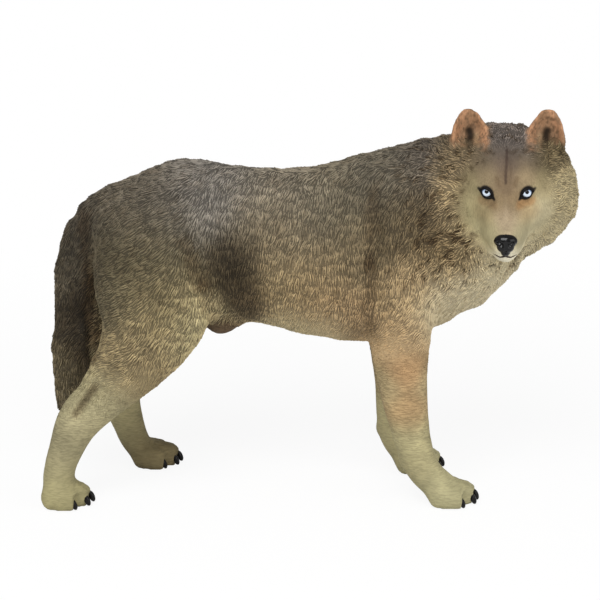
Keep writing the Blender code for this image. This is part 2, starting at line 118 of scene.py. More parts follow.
whiter.inputs["To Max"].default_value = 1.0
links.new(from_middle.outputs["Value"], whiter.inputs["Value"])
to_camera = nodes.new("ShaderNodeLightPath")
seen_share = nodes.new("ShaderNodeMath")
seen_share.operation = "MULTIPLY"
links.new(to_camera.outputs["Is Camera Ray"], seen_share.inputs[0])
links.new(whiter.outputs["Result"], seen_share.inputs[1])
blend_glow = nodes.new("ShaderNodeMixShader")
links.new(seen_share.outputs[0], blend_glow.inputs["Fac"])
links.new(nodes["Principled BSDF"].outputs[0], blend_glow.inputs[1])
links.new(glow.outputs[0], blend_glow.inputs[2])
links.new(blend_glow.outputs[0], nodes["Material Output"].inputs["Surface"])
floor_mesh.materials.append(floor_paint)

# The hide: the whole figure moulded in one piece of PVC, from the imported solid's own form.
# Its facets are softened, and the muscle folds and the larger waves of the coat are carved
# in before the hair is laid on it.
SKIN_VOXEL = 0.53
HEAD_CENTRE = Vector((40.0, -4.0, 67.0))
HEAD_TURN = math.radians(-95.0)
HEAD_ROLL = math.radians(0.5)
MUZZLE_REACH = 18.8
MUZZLE_TAPER = 0.17
EYE_PLACES = {-1: -3.75, 1: 4.05}
EYE_LEVEL = -0.12
FACE_HALF_WIDTH = 10.5
FACE_HALF_HEIGHT = 11.5
FACE_DROP = 2.2
MUZZLE_MIDDLE = Vector((14.5, 0.0, -9.0))
EARS_MIDDLE = 0.3
FORELEG_COAT = (27.0, 40.0)
HIND_LEG_COAT = (18.0, 33.0)
SHEATH_X = -17.5
SHEATH_Z = 33.0
SHEATH_HALF_LENGTH = 6.5
SHEATH_HALF_HEIGHT = 3.6
HAND_BRUSHED = 0.3
ALL_STROKES = 2
FACE_STROKES = 4
BODY_STROKES = 6
PAW_STROKES = 4
SHOULDER_FOLD = ((13.4, 64), (12.4, 51), (12.6, 36))
THIGH_FOLD = ((-25, 14, 57), (-21, 14, 47), (-18.5, 12, 37))
HOCK_HOLLOWS = (
    ((-43.0, -12.6, 27.2), (-48.0, -12.6, 20.0), 0.8),
    ((-39.2, 11.4, 26.2), (-42.4, 11.4, 19.4), 0.7),
)
TAIL_FULLNESS = -1.0
HEAD = (
    Matrix.Translation(HEAD_CENTRE)
    @ Matrix.Rotation(HEAD_TURN, 4, "Z")
    @ Matrix.Rotation(HEAD_ROLL, 4, "X")
)
HEAD_BACK = HEAD.inverted()


def in_head(forward, left, up):
    """A point given by the head's own axes, in the wolf's millimetres."""
    return HEAD @ Vector((forward, left, up))


def ramp(value, low, high):
    """0 below low, 1 above high, eased between them."""
    t = max(0.0, min(1.0, (value - low) / (high - low)))
    return t * t * (3.0 - 2.0 * t)


def evaluated(mesh, prepare):
    """The mesh after the modifiers that prepare adds."""
    holder = bpy.data.objects.new("holder", mesh)
    bpy.context.scene.collection.objects.link(holder)
    prepare(holder)
    graph = bpy.context.evaluated_depsgraph_get()
    made = bpy.data.meshes.new_from_object(holder.evaluated_get(graph), depsgraph=graph)
    bpy.data.objects.remove(holder)
    return made


def soften_and_remesh(holder):
    rounder = holder.modifiers.new("rounder", "SUBSURF")
    rounder.levels = rounder.render_levels = 1
    skin = holder.modifiers.new("skin", "REMESH")
    skin.mode = "VOXEL"
    skin.voxel_size = SKIN_VOXEL


def smooth(bm, strokes, verts):
    for _ in range(strokes):
        bmesh.ops.smooth_vert(
            bm, verts=verts, factor=0.5, use_axis_x=True, use_axis_y=True, use_axis_z=True
        )


def face_part(p):
    """1 on the short-haired face, fading to 0 in the ruff."""
    local = HEAD_BACK @ p
    out = math.hypot(local.y / FACE_HALF_WIDTH, (local.z + FACE_DROP) / FACE_HALF_HEIGHT)
    muzzle = (local - MUZZLE_MIDDLE).length
    short = max(1.0 - ramp(out, 0.66, 1.06), 1.0 - ramp(muzzle, 6.0, 7.2))
    return short * ramp(local.x, -2.5, 1.5)


def ear_part(p):
    """1 on the two ears, 0 elsewhere."""
    local = HEAD_BACK @ p
    beside = abs(local.y - EARS_MIDDLE)
    ragged = local.z + 1.2 * noise.noise(p / 0.9)
    near = ramp(beside, 3.0, 4.4) * (1.0 - ramp(beside, 11.2, 12.2))
    return ramp(ragged, 6.6, 9.2) * near * ramp(local.x, -3.4, -2.2)


def from_sheath(p):
    """0 at the middle of the sheath and 1 at its rim, seen from the side."""
    along = (p.x - SHEATH_X) / SHEATH_HALF_LENGTH
    return math.hypot(along, (p.z - SHEATH_Z) / SHEATH_HALF_HEIGHT)


def leg_part(p):
    """1 on the short hair of the legs, the paws and the sheath, fading to 0 in the coat."""
    if p.x < -43.0 and p.z > 16.0 and abs(p.y) < 5.6:
        return 0.0
    low, high = FORELEG_COAT if p.x > 0 else HIND_LEG_COAT
    bare = 1.0 - ramp(from_sheath(p), 0.75, 1.1) if abs(p.y) < 5.0 else 0.0
    return max(bare, 1.0 - ramp(p.z, low, high))


def furred(p):
    """How much of the long coat grows here."""
    return (1.0 - face_part(p)) * (1.0 - leg_part(p)) * (1.0 - ear_part(p))


def mane_part(p):
    """1 on the neck and the ruff, where the hair is curly, 0 on the trunk."""
    return ramp(p.x, 15.0, 24.0) * ramp(p.z, 44.0, 52.0)


def on_head(bm):
    """The vertices of the face and ears, which are painted by hand with a fine brush."""
    return [v for v in bm.verts if face_part(v.co) + ear_part(v.co) > HAND_BRUSHED]


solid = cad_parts["wolf_figure"]
hide_bm = bmesh.new()
hide_bm.from_mesh(solid.data)
bmesh.ops.remove_doubles(hide_bm, verts=hide_bm.verts, dist=0.000001)
bmesh.ops.transform(hide_bm, matrix=TO_FIGURE.inverted(), verts=hide_bm.verts)
rough_mesh = bpy.data.meshes.new("rough_hide")
hide_bm.to_mesh(rough_mesh)
hide_bm.free()
hide_bm = bmesh.new()
hide_bm.from_mesh(evaluated(rough_mesh, soften_and_remesh))
hide_bm.verts.ensure_lookup_table()
smooth(hide_bm, ALL_STROKES, hide_bm.verts[:])
finer = set(on_head(hide_bm))
fine_edges = [e for e in hide_bm.edges if finer.issuperset(e.verts)]
bmesh.ops.subdivide_edges(hide_bm, edges=fine_edges, cuts=1, use_grid_fill=True)
smooth(hide_bm, FACE_STROKES, on_head(hide_bm))
body_verts = [v for v in hide_bm.verts if v.co.z > 7.0 and ear_part(v.co) < 0.5]
smooth(hide_bm, BODY_STROKES, [v for v in body_verts if face_part(v.co) < 0.4])
smooth(hide_bm, PAW_STROKES, [v for v in hide_bm.verts if 0.3 < v.co.z < 9.0])
hide_bm.normal_update()


class Skin:
    """The hide with search trees, so that each tool finds its place on it."""

    def __init__(self, bm):
        bm.normal_update()
        bm.verts.ensure_lookup_table()
        self.verts = bm.verts
        self.tree = BVHTree.FromBMesh(bm)
        self.points = KDTree(len(bm.verts))
        for v in bm.verts:
            self.points.insert(v.co, v.index)
        self.points.balance()

    def on_face(self, left, up):
        """The point of the skin seen straight from the front of the face."""
        ahead = in_head(2.0 * MUZZLE_REACH, left, up)
        return self.tree.ray_cast(ahead, (in_head(0, left, up) - ahead).normalized())[0]

    def press(self, path, radius, depth, fade=True):
        """A tool drawn over the skin; a negative depth raises it."""
        path = [self.tree.find_nearest(Vector(p))[0] for p in path]
        legs = list(zip(path, path[1:]))
        reach = radius + max((b - a).length for a, b in legs)
        for i in {i for p in path for _, i, _ in self.points.find_range(p, reach)}:
            v = self.verts[i]
            near, travelled = min(
                gap_and_travel(v.co, a, b, n) for n, (a, b) in enumerate(legs)
            )
            if near < radius:
                weight = math.sin(math.pi * travelled / len(legs)) if fade else 1.0
                v.co -= v.normal * depth * weight * (1.0 - (near / radius) ** 2) ** 2


def gap_and_travel(p, a, b, legs_before):
    along = b - a
    t = max(0.0, min(1.0, (p - a).dot(along) / max(along.length_squared, 1e-9)))
    return (p - a - along * t).length, legs_before + t


skin = Skin(hide_bm)
for side in (-1, 1):
    skin.press([(x, side * 14, z) for x, z in SHOULDER_FOLD], 2.2, 0.5)
    skin.press([(x, side * y, z) for x, y, z in THIGH_FOLD], 2.4, 0.5)
    inner = skin.on_face(EYE_PLACES[side] - side * 2.4, EYE_LEVEL - 0.9)
    outer = skin.on_face(EYE_PLACES[side] + side * 2.2, EYE_LEVEL + 0.3)
    under = skin.on_face(EYE_PLACES[side], EYE_LEVEL - 2.2)
    skin.press([inner, under, outer], 1.1, 0.35)
skin.press([skin.on_face(0.1, 0.8), skin.on_face(0.3, 4.0), skin.on_face(0.0, 8.0)], 1.1, 0.5)
for v in hide_bm.verts:
    local = HEAD_BACK @ v.co
    if local.x > 10.0 and -14.5 < local.z < -3.0 and abs(local.y) < 7.5:
        local.y *= 1.0 - MUZZLE_TAPER * ramp(local.x, 11.0, 17.5) * ramp(-local.z, 3.0, 7.0)
        v.co = HEAD @ local
skin = Skin(hide_bm)
for over in (-4.4, 4.4):
    for upper, lower, depth in HOCK_HOLLOWS:
        skin.press([(x, y + over, z) for x, y, z in (upper, lower)], 1.3, depth)
for x in (-46.4, -43.4):
    skin.press([(x, 0.0, 43.0), (x, 0.0, 36.0), (x, 0.0, 29.0)], 3.4, TAIL_FULLNESS)

# Paint: the figure is airbrushed from dark grey-brown above to cream below, with a dark
# flank and nape, and the face is brushed by hand. Painted shade darkens the folds, the
# hollows between the curls, the gap between tail and thigh, the hock hollows, the far hind
# foot and the ears' hollows. Each spot is a place, a spread and a colour; a point takes the
# mixture of the spots near it.
TAIL_SPOTS = (  # x, z, spread in mm, colour as red, green, blue
    (-45.0, 63.0, 6.0, (72, 66, 57)),
    (-50.0, 52.0, 5.0, (70, 64, 53)),
    (-54.5, 44.0, 3.0, (98, 90, 75)),
    (-50.0, 38.0, 4.0, (60, 53, 42)),
    # painted shade in the gap between the tail and the thigh
    (-46.0, 40.0, 2.4, (38, 32, 24)),
    (-46.5, 30.0, 2.4, (44, 37, 27)),
    (-51.5, 27.0, 4.0, (102, 92, 71)),
    (-51.0, 19.0, 4.0, (108, 98, 76)),
)
BODY_SPOTS = (  # x, z, spread in mm, colour as red, green, blue
    (-46.0, 62.0, 5.0, (76, 70, 60)),
    (-46.0, 50.0, 4.0, (90, 82, 66)),
    (-34.0, 66.0, 7.0, (94, 87, 76)),
    (-34.0, 54.0, 7.0, (92, 84, 64)),
    (-40.5, 44.0, 4.0, (98, 90, 70)),
    (-30.0, 43.0, 6.0, (132, 119, 88)),
    (-34.0, 33.0, 6.0, (150, 134, 101)),
    (-21.0, 38.0, 5.0, (180, 168, 129)),
    (-20.0, 68.0, 7.0, (112, 107, 100)),
    (-4.0, 66.0, 8.0, (121, 113, 99)),
    (-6.0, 57.0, 6.0, (119, 106, 82)),
    (-14.6, 53.0, 3.4, (58, 50, 37)),
    (-14.4, 48.0, 3.6, (55, 47, 34)),
    (-13.4, 43.0, 3.2, (68, 57, 42)),
    (-5.0, 47.0, 5.0, (150, 132, 99)),
    (2.0, 43.0, 5.0, (156, 134, 100)),
    (7.0, 41.0, 4.0, (158, 134, 101)),
    (-2.0, 35.0, 4.5, (220, 205, 164)),
    (-17.0, 35.0, 3.0, (94, 79, 60)),
    (5.0, 62.0, 6.0, (99, 91, 73)),
    (3.0, 52.0, 4.0, (146, 128, 97)),
    (4.0, 37.5, 3.0, (205, 187, 149)),
    (11.0, 55.0, 5.0, (118, 104, 79)),
    (14.0, 70.0, 6.0, (93, 87, 75)),
    (18.0, 60.0, 5.0, (94, 82, 61)),
    (27.0, 73.0, 6.0, (94, 86, 77)),
    (26.5, 62.0, 4.5, (88, 75, 55)),
    (29.0, 54.0, 4.5, (126, 108, 78)),
    (20.0, 47.0, 5.0, (158, 137, 103)),
    (29.0, 43.0, 5.0, (243, 228, 190)),
    (42.0, 50.0, 6.0, (240, 226, 188)),
    (46.0, 62.0, 6.0, (152, 140, 108)),
    (44.0, 74.0, 6.0, (108, 98, 82)),
    (19.0, 37.0, 4.0, (182, 156, 118)),
    (20.5, 30.0, 2.6, (158, 127, 91)),
    (20.5, 21.0, 2.8, (152, 125, 90)),
    (14.2, 25.0, 3.0, (160, 143, 107)),
    (26.5, 27.0, 3.0, (164, 148, 112)),
    (22.0, 13.0, 5.0, (165, 156, 118)),
    (31.0, 3.0, 5.0, (172, 165, 127)),
    (-44.0, 23.0, 5.0, (163, 154, 120)),
    (-50.0, 12.0, 5.0, (146, 138, 107)),
    (-50.0, 3.0, 5.0, (160, 152, 112)),
    (-38.0, 12.0, 5.0, (150, 141, 105)),
    # painted shade on the far hind foot
    (-33.0, 3.0, 5.0, (122, 110, 80)),
)
FACE_SPOTS = (  # left, up, spread in mm, colour as red, green, blue
    (0.0, 9.5, 2.4, (92, 83, 74)),
    (0.0, 6.0, 2.2, (98, 84, 72)),
    (-4.5, 6.5, 2.0, (106, 93, 75)),
    (4.5, 6.5, 2.0, (110, 96, 77)),
    (0.0, 2.2, 1.6, (118, 100, 78)),
    (-3.4, 2.8, 1.5, (132, 116, 89)),
    (3.6, 2.8, 1.5, (138, 121, 93)),
    (-1.8, -1.6, 1.2, (138, 119, 90)),
    (1.8, -1.6, 1.2, (138, 118, 89)),
    (-4.6, -3.8, 1.6, (147, 131, 97)),
    (4.8, -3.8, 1.6, (162, 140, 104)),
    (-9.5, 1.0, 2.6, (134, 122, 91)),
    (9.5, 1.0, 2.6, (143, 130, 97)),
    (-8.5, -5.0, 2.8, (165, 155, 116)),
    (8.5, -5.0, 2.8, (191, 181, 148)),
    (0.0, -4.6, 1.8, (158, 141, 115)),
    (-3.4, -7.0, 1.7, (170, 160, 124)),
    (3.4, -7.0, 1.7, (170, 160, 126)),
    (0.0, -12.4, 2.0, (246, 238, 212)),
    (-6.0, -10.5, 2.6, (198, 186, 145)),
    (6.0, -10.5, 2.6, (202, 190, 152)),
)
RUFF_SPOTS = (  # left, up, spread in mm, colour as red, green, blue
    (0.0, 12.0, 4.0, (112, 103, 96)),
    (-10.0, 6.0, 3.6, (118, 103, 79)),
    (11.0, 7.0, 3.0, (104, 92, 68)),
    (15.0, -2.0, 4.0, (188, 173, 135)),
    (-13.0, -3.0, 4.0, (152, 134, 101)),
    (12.0, -11.0, 4.0, (200, 186, 148)),
    (-10.0, -12.0, 4.0, (168, 150, 114)),
    (0.0, -16.0, 4.5, (220, 206, 168)),
    (9.0, -18.0, 4.5, (210, 196, 158)),
)
RUFF_MIDDLE = in_head(-1.0, 0.0, -2.0)
EAR_RIM = (180, 135, 101)
EAR_BACK = (140, 110, 84)
EAR_INSIDE = (152, 116, 86)
EAR_SPECKS_AND_HOLLOW_SHADE = (36, 27, 18)
EAR_FRINGE = (160, 140, 106)
EAR_FROM_MIDDLE = 7.6
EYE_LINE = (24, 20, 17)
BROW_MARK = (102, 84, 62)
FOREHEAD_LINE = (62, 49, 42)
CURL_SHADE = (56, 43, 28)
SHEATH_BROWN = (92, 76, 58)
SHADED_FOLDS = (  # painted shade along the folds of the shoulder, elbow and thigh and in the gap between tail and thigh, as x and z, then how dark
    ((13.4, 66.0), (12.4, 52.0), 0.30),
    ((12.4, 52.0), (12.8, 37.0), 0.34),
    ((-25.0, 57.0), (-21.5, 48.0), 0.35),
    ((-21.5, 48.0), (-18.5, 38.0), 0.30),
    ((-45.6, 60.0), (-45.0, 46.0), 0.40),
    ((-45.0, 46.0), (-43.8, 32.0), 0.55),
)
# Painted shade in the hollows above the hocks, each from its upper to its lower end, as x and z.
HOCK_SHADE_SLITS = (((-43.2, 26.8), (-47.4, 20.8)), ((-39.4, 25.6), (-42.0, 19.8)))
UNDER_EYE = {-1: (118, 94, 66), 1: (150, 108, 66)}


def linear(colour):
    """Red, green and blue of 0 to 255 as seen, turned into light."""
    return [(c / 255.0 / 12.92 if c <= 10 else ((c / 255.0 + 0.055) / 1.055) ** 2.4) for c in colour]


def mixed(first, second, share):
    return [a + (b - a) * share for a, b in zip(first, second)]


def spots_at(spots, a, b):
    total, colour = 1e-9, [0.0, 0.0, 0.0]
    for sa, sb, spread, paint in spots:
        weight = math.exp(-((a - sa) ** 2 + (b - sb) ** 2) / (1.4 * spread * spread))
        total += weight
        for k in range(3):
            colour[k] += weight * paint[k]
    return [c / total for c in colour]


def airbrushed(p):
    """The paint's colour at a point of the hide, with its painted shade, as red, green and blue of 0
    to 255.
    """
    local = HEAD_BACK @ p
    colour = spots_at(BODY_SPOTS, p.x, p.z)
    tail = (1.0 - ramp(abs(p.y), 5.2, 7.4)) * (1.0 - ramp(p.x, -46.0, -43.0))
    if tail > 0.0:
        colour = mixed(colour, spots_at(TAIL_SPOTS, p.x, p.z), tail)
    brown = (1.0 - ramp(from_sheath(p), 0.8, 1.3)) * (1.0 - ramp(abs(p.y), 4.5, 6.5))
    colour = mixed(colour, SHEATH_BROWN, brown)
    around = (p - RUFF_MIDDLE).length
    ruff = (1.0 - ramp(around, 14.0, 19.0)) * ramp(local.x, -9.0, -3.0)
    if ruff > 0.0:
        colour = mixed(colour, spots_at(RUFF_SPOTS, local.y, local.z), ruff)
    face = face_part(p)
    if face > 0.0:
        colour = mixed(colour, spots_at(FACE_SPOTS, local.y, local.z), face)
        colour = eye_lines(colour, local)
    ear = ear_part(p)
    if ear > 0.0:
        colour = mixed(colour, ear_paint(local), ear)
    coat = furred(p)
    if coat > 0.0:
        # Painted shade in the hollows between the curls, strongest on the mane.
        dark = curl_hollow(p) * (0.14 + 0.56 * mane_part(p))
        # Painted shade along the folds and in the gap between tail and thigh.
        for start, end, strength in SHADED_FOLDS:
            beside = gap_to((p.x, p.z), start, end) + 1.2 * noise.noise(p / 3.0)
            dark += strength * (1.0 - ramp(beside, 0.2, 2.2))
        colour = mixed(colour, CURL_SHADE, coat * min(0.75, dark))
    # Painted shade in the hock hollow of each hind leg.
    for (start, end), on_leg in zip(HOCK_SHADE_SLITS, (p.y < -8.0, p.y > 7.0)):
        if on_leg:
            slit = 1.0 - ramp(gap_to((p.x, p.z), start, end), 0.2, 1.3)
            colour = mixed(colour, CURL_SHADE, 0.42 * slit)
    mottle = 1.0 + 0.10 * noise.noise(p / 6.0) + 0.06 * noise.noise(p / 2.2)
    return [max(0.0, min(255.0, c * mottle)) for c in colour]


def curl_hollow(p):
    """1 in the hollows between the curls of the coat, 0 on the curls."""
    curly = 1.0 - 0.75 * ramp(p.x, 42.0, 48.0)
    return curly * ramp(noise.noise(p / 1.7) + 0.6 * noise.noise(p / 0.8), 0.05, 0.5)


def eye_lines(colour, local):
    """Dark rims and corners of the eyes, the marks of the brows and the forehead's crease."""
    if local.x < 4.0:
        return colour
    here = (local.y, local.z)
    for side in (-1, 1):
        across = side * (local.y - EYE_PLACES[side])
        lift = local.z - EYE_LEVEL - 0.25 * across
        rim = math.hypot(across / 1.38, lift / 1.28)
        corner = gap_to((across, lift), (-0.9, -0.3), (-1.35, -0.8))
        tail = gap_to((across, lift), (1.1, 0.2), (1.6, 0.2))
        mark = gap_to((across, lift), (-2.3, 2.1), (-1.9, 3.0))
        under = gap_to((across, lift), (-1.2, -1.6), (1.0, -1.9))
        colour = mixed(colour, UNDER_EYE[side], 0.5 * (1.0 - ramp(under, 0.3, 1.3)))
        colour = mixed(colour, EYE_LINE, 1.0 - ramp(rim, 0.82, 1.10))
        colour = mixed(colour, EYE_LINE, 0.9 * (1.0 - ramp(min(corner, tail), 0.12, 0.45)))
        colour = mixed(colour, BROW_MARK, 0.55 * (1.0 - ramp(mark, 0.15, 0.75)))
    crease = gap_to(here, (-0.1, 1.6), (0.1, 7.6))
    bridge = min(gap_to(here, (-0.9, -4.0), (-0.5, 1.2)), gap_to(here, (0.9, -4.0), (0.5, 1.2)))
    colour = mixed(colour, BROW_MARK, 0.16 * (1.0 - ramp(bridge, 0.2, 0.8)))
    return mixed(colour, FOREHEAD_LINE, 0.7 * (1.0 - ramp(crease, 0.08, 0.40)))


def gap_to(point, start, end):
    p, a, b = (Vector((*q, 0.0)) for q in (point, start, end))
    return gap_and_travel(p, a, b, 0)[0]


def ear_paint(local):
    """Orange-brown rims about a narrow hollow darkened with painted shade, with a pale fringe beside
    it.
    """
    side = 1.0 if local.y > EARS_MIDDLE else -1.0
    across = side * (local.y - EARS_MIDDLE) - EAR_FROM_MIDDLE
    height = ramp(local.z, 7.0, 14.0)
    front = ramp(local.x, 0.2 - 0.4 * height, 1.2 - 0.4 * height)
    waver = 0.4 * noise.noise(Vector((local.z * 0.9, side, 0.0)))
    slit = gap_to((across + waver, local.z), (-0.2, 6.4), (0.1, 10.3))
    fringe = gap_to((across, local.z), (-1.5, 6.5), (-1.2, 9.5))
    streak = noise.noise(Vector((local.y * 1.6, local.x * 1.2, local.z * 0.45)))
    half = 3.4 * math.sqrt(max(0.04, 1.0 - ((local.z - 6.0) / 8.8) ** 2))
    rim = ramp(abs(across + 0.3) / half, 0.45, 0.85)
    colour = mixed(EAR_BACK, mixed(EAR_INSIDE, EAR_RIM, rim), front)
    colour = mixed(colour, EAR_BACK, 0.8 * ramp(streak, -0.05, 0.4))
    speckle = noise.noise(Vector((local.y, local.x, 0.6 * local.z)) * 2.4)
    colour = mixed(colour, EAR_SPECKS_AND_HOLLOW_SHADE, 0.36 * ramp(speckle, 0.0, 0.6))
    inside = ramp(local.x, -1.4, -0.9)
    # Painted shade in the narrow hollow of the ear, on its front only.
    colour = mixed(colour, EAR_SPECKS_AND_HOLLOW_SHADE, 0.95 * inside * (1.0 - ramp(slit, 0.2, 1.3)))
    return mixed(colour, EAR_FRINGE, 0.4 * inside * (1.0 - ramp(fringe, 0.0, 1.0)))


def dressed(name, bm, material):
    """The finished piece: its mesh in the figure's metres, smooth, in its finish."""
    bmesh.ops.transform(bm, matrix=TO_FIGURE, verts=bm.verts)
    mesh = bpy.data.meshes.new(name)
    bm.to_mesh(mesh)
    bm.free()
    mesh.materials.append(material)
    mesh.shade_smooth()
    piece = bpy.data.objects.new(name, mesh)
    bpy.context.scene.collection.objects.link(piece)
    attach(piece, "root")
    return piece


# The finest hair is engraved in the mould: short strokes that run across the legs and down
# the face. They catch the light on their ridges, and a dark wash stays in their grooves.
STROKE_WIDTH = 0.28
LEGS_END = 0.047
ACROSS = (210.0, 210.0, 1200.0)
DOWNWARDS = (1200.0, 1200.0, 230.0)
STROKE_TILT = math.radians(8.0)
ENGRAVING_DEPTH = 0.00016
WASH = (0.74, 1.16)
engraving = bpy.data.node_groups.new("engraved_hair", "ShaderNodeTree")
engraving.interface.new_socket("Stroke Width", in_out="INPUT", socket_type="NodeSocketFloat")
engraving.interface.new_socket("Ridge", in_out="OUTPUT", socket_type="NodeSocketFloat")
nodes, links = engraving.nodes, engraving.links
asked = nodes.new("NodeGroupInput")
given = nodes.new("NodeGroupOutput")
where = nodes.new("ShaderNodeTexCoord")
per_stroke = nodes.new("ShaderNodeMath")
per_stroke.operation = "DIVIDE"
per_stroke.inputs[0].default_value = 1.0
links.new(asked.outputs["Stroke Width"], per_stroke.inputs[1])
combed_across = nodes.new("ShaderNodeMapping")
combed_across.inputs["Rotation"].default_value = (0.0, STROKE_TILT, 0.0)
combed_across.inputs["Scale"].default_value = ACROSS
links.new(where.outputs["Object"], combed_across.inputs["Vector"])
combed_down = nodes.new("ShaderNodeMapping")
combed_down.inputs["Scale"].default_value = DOWNWARDS
links.new(where.outputs["Object"], combed_down.inputs["Vector"])
height = nodes.new("ShaderNodeSeparateXYZ")
links.new(where.outputs["Object"], height.inputs[0])
above_legs = nodes.new("ShaderNodeMath")
above_legs.operation = "GREATER_THAN"
above_legs.inputs[1].default_value = LEGS_END
links.new(height.outputs["Z"], above_legs.inputs[0])
lay_of_strokes = nodes.new("ShaderNodeMix")
lay_of_strokes.data_type = "VECTOR"
links.new(above_legs.outputs[0], lay_of_strokes.inputs[0])
links.new(combed_across.outputs["Vector"], lay_of_strokes.inputs[4])
links.new(combed_down.outputs["Vector"], lay_of_strokes.inputs[5])
wider = nodes.new("ShaderNodeVectorMath")
wider.operation = "SCALE"
links.new(lay_of_strokes.outputs[1], wider.inputs[0])
links.new(per_stroke.outputs[0], wider.inputs["Scale"])
strokes = nodes.new("ShaderNodeTexNoise")
strokes.inputs["Scale"].default_value = 1.0
strokes.inputs["Detail"].default_value = 2.0
strokes.inputs["Roughness"].default_value = 0.55
strokes.inputs["Distortion"].default_value = 0.6
links.new(wider.outputs[0], strokes.inputs["Vector"])
ridge = nodes.new("ShaderNodeMapRange")
ridge.interpolation_type = "SMOOTHSTEP"
ridge.inputs["From Min"].default_value = 0.34
ridge.inputs["From Max"].default_value = 0.62
links.new(strokes.outputs["Fac"], ridge.inputs["Value"])
links.new(ridge.outputs["Result"], given.inputs["Ridge"])

coat_paint = bpy.data.materials.new("airbrushed_coat")
coat_paint.use_nodes = True
nodes, links = coat_paint.node_tree.nodes, coat_paint.node_tree.links
shader = nodes["Principled BSDF"]
shader.inputs["Roughness"].default_value = 0.75
shader.inputs["Specular IOR Level"].default_value = 0.12
brushed = nodes.new("ShaderNodeAttribute")
brushed.attribute_name = "paint"
hair = nodes.new("ShaderNodeGroup")
hair.node_tree = engraving
hair.inputs["Stroke Width"].default_value = STROKE_WIDTH
wash = nodes.new("ShaderNodeMapRange")
wash.inputs["To Min"].default_value, wash.inputs["To Max"].default_value = WASH
engraved_here = nodes.new("ShaderNodeMath")
engraved_here.operation = "MULTIPLY"
links.new(hair.outputs["Ridge"], engraved_here.inputs[0])
links.new(brushed.outputs["Alpha"], engraved_here.inputs[1])
links.new(engraved_here.outputs[0], wash.inputs["Value"])
washed = nodes.new("ShaderNodeVectorMath")
washed.operation = "SCALE"
links.new(brushed.outputs["Color"], washed.inputs[0])
links.new(wash.outputs["Result"], washed.inputs["Scale"])
links.new(washed.outputs[0], shader.inputs["Base Color"])
relief = nodes.new("ShaderNodeBump")
relief.inputs["Strength"].default_value = 0.5
relief.inputs["Distance"].default_value = ENGRAVING_DEPTH
links.new(engraved_here.outputs[0], relief.inputs["Height"])
links.new(relief.outputs["Normal"], shader.inputs["Normal"])

GROOVE_SHADE = 0.58
ENGRAVED = 0.42
ENGRAVED_LEGS = 0.52
SOLE_HEIGHT = 0.14


def coat_relief(p):
    """How high the waves and curls of the coat stand here, and the tail's clumps, in mm."""
    wave = noise.noise(Vector((p.x * 0.36, p.y * 0.36, p.z * 0.2)))
    curls = 0.30 * noise.noise(p / 1.5) - (0.12 + 0.5 * mane_part(p)) * curl_hollow(p)
    tail = 1.0 - ramp(p.x, -46.5, -43.0)
    clumps = noise.noise(Vector((p.x / 1.7, p.y / 1.7, p.z / 7.0)))
    return (0.25 - 0.1 * tail) * wave + curls + 0.75 * tail * clumps - 0.05


for v in hide_bm.verts:
    if v.co.z < SOLE_HEIGHT:
        v.co.z = 0.0
    coat = furred(v.co)
    if coat > 0.0:
        v.co += v.normal * coat * coat_relief(v.co)
hide_bm.normal_update()
paint_layer = hide_bm.verts.layers.float_color.new("paint")
coat_at = [furred(v.co) for v in hide_bm.verts]
painted = [linear(airbrushed(v.co)) for v in hide_bm.verts]
for v, coat, colour in zip(hide_bm.verts, coat_at, painted):
    shade = 1.0 - (1.0 - GROOVE_SHADE) * coat * coat
    fine = leg_part(v.co) * ramp(v.co.z, 5.0, 24.0)
    engraved = ENGRAVED * (1.0 - coat) + ENGRAVED_LEGS * fine
    v[paint_layer] = (*[c * shade for c in colour], min(1.0, engraved))

# The coat's locks: some fifty thousand short strokes that stand on the hide, wide at the root
# and narrow at the tip, each lying along the fall of the hair. They are moulded with the
# body, and dry-brushed lighter along their backs; their backs also carry painted highlight
# and their sides painted shade, in place of the light and shade of the fine relief.
LOCK_SPACING = 0.315
LOCK_WIDTH = 0.40
LOCK_LENGTH = 1.75
RIDGE_LIGHT = 2.85
SIDE_SHADE = 0.72
PALE_FROM = 0.50
PALE_RIDGE = 2.30
PALE_SIDE = 1.30
BRIGHTEST = 0.84
TIP_ALONG = 0.8
FOOT_BEHIND = 0.25
FOOT_DEPTH = 0.55
LOCK_SIZES = (0.85, 1.2)
LOCK_TONES = (0.76, 1.26)
ROOT_OFFSET = 0.26
ROOTS_TRIED = 2
COAT_EDGE = (0.005, 0.11)
LOCKS_IN_A_BATCH = 250
LAY_OF_HAIR = (  # x, z, spread in mm, then the way the hair points there (x, z)
    (-47.0, 60.0, 5.0, -0.50, -0.86),
    (-51.0, 44.0, 6.0, -0.20, -0.98),
    (-51.0, 26.0, 7.0, 0.00, -1.00),
    (-41.0, 47.0, 5.0, -0.95, -0.30),
    (-41.0, 33.0, 6.0, -1.00, -0.10),
    (-33.0, 55.0, 6.0, -0.85, -0.50),
    (-23.0, 50.0, 5.0, -0.40, -0.90),
    (-29.0, 40.0, 6.0, -0.45, -0.90),
    (-30.0, 32.0, 6.0, -0.30, -0.95),
    (-30.0, 67.0, 7.0, -0.75, -0.65),
    (-16.0, 66.0, 7.0, -0.35, -0.94),
    (0.0, 65.0, 8.0, -0.20, -0.98),
    (-12.0, 50.0, 6.0, -0.10, -1.00),
    (1.0, 46.0, 7.0, -0.15, -0.98),
    (-1.0, 35.0, 6.0, -0.50, -0.85),
    (11.0, 58.0, 7.0, -0.10, -1.00),
    (14.0, 46.0, 5.0, 0.05, -1.00),
    (18.0, 36.0, 4.0, -0.95, -0.35),
    (22.0, 47.0, 6.0, -0.55, -0.83),
    (31.0, 44.0, 7.0, -0.70, -0.70),
    (25.0, 63.0, 7.0, -0.35, -0.94),
    (24.0, 74.0, 7.0, -0.80, -0.60),
    (48.0, 56.0, 8.0, 0.20, -1.00),
    (50.0, 72.0, 8.0, 0.30, -0.95),
)


